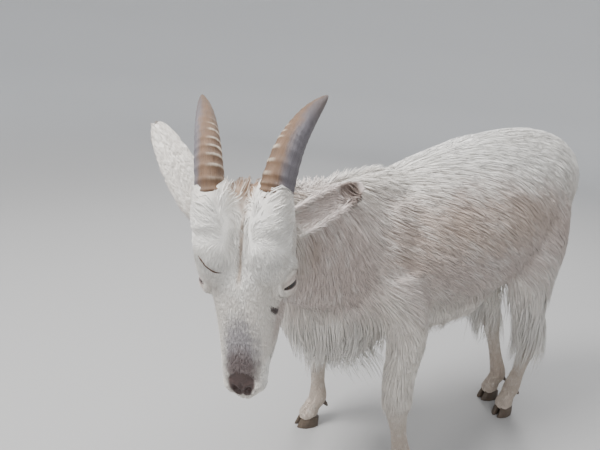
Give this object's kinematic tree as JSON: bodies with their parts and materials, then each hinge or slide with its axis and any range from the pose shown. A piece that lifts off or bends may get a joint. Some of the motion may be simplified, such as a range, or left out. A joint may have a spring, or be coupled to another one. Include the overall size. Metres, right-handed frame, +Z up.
{
  "type": "billy goat figure",
  "caption": "Life-size standing young billy goat with a long white coat, swept-back ridged horns and its head turned to its left.",
  "frame": {"origin": "on the floor, at the middle of the whole goat's bounding box", "axes": "+Z up, -Y the way the body faces, +X the goat's left"},
  "size_m": [0.3782, 0.9552, 0.7325],
  "materials": {
    "coat": "long soft white hair with a pinkish tan undercoat",
    "horn": "dull ridged horn, tan with pale bands",
    "hoof": "dull dark hoof horn",
    "eye": "wet amber eye with a level slot pupil"
  },
  "bodies": {
    "root": {"claw_front_left_inner": "hoof", "claw_front_left_outer": "hoof", "claw_front_right_inner": "hoof", "claw_front_right_outer": "hoof", "claw_hind_left_inner": "hoof", "claw_hind_left_outer": "hoof", "claw_hind_right_inner": "hoof", "claw_hind_right_outer": "hoof", "dewclaw_front_left_inner": "hoof", "dewclaw_front_left_outer": "hoof", "dewclaw_front_right_inner": "hoof", "dewclaw_front_right_outer": "hoof", "dewclaw_hind_left_inner": "hoof", "dewclaw_hind_left_outer": "hoof", "dewclaw_hind_right_inner": "hoof", "dewclaw_hind_right_outer": "hoof", "ear_left": "coat", "ear_right": "coat", "eye_left": "eye", "eye_right": "eye", "forearm_left": "coat", "forearm_right": "coat", "head": "coat", "horn_left": "horn", "horn_right": "horn", "neck": "coat", "shin_front_left": "coat", "shin_front_right": "coat", "shin_hind_left": "coat", "shin_hind_right": "coat", "tail": "coat", "thigh_left": "coat", "thigh_right": "coat", "torso": "coat"}
  },
  "joints": []
}
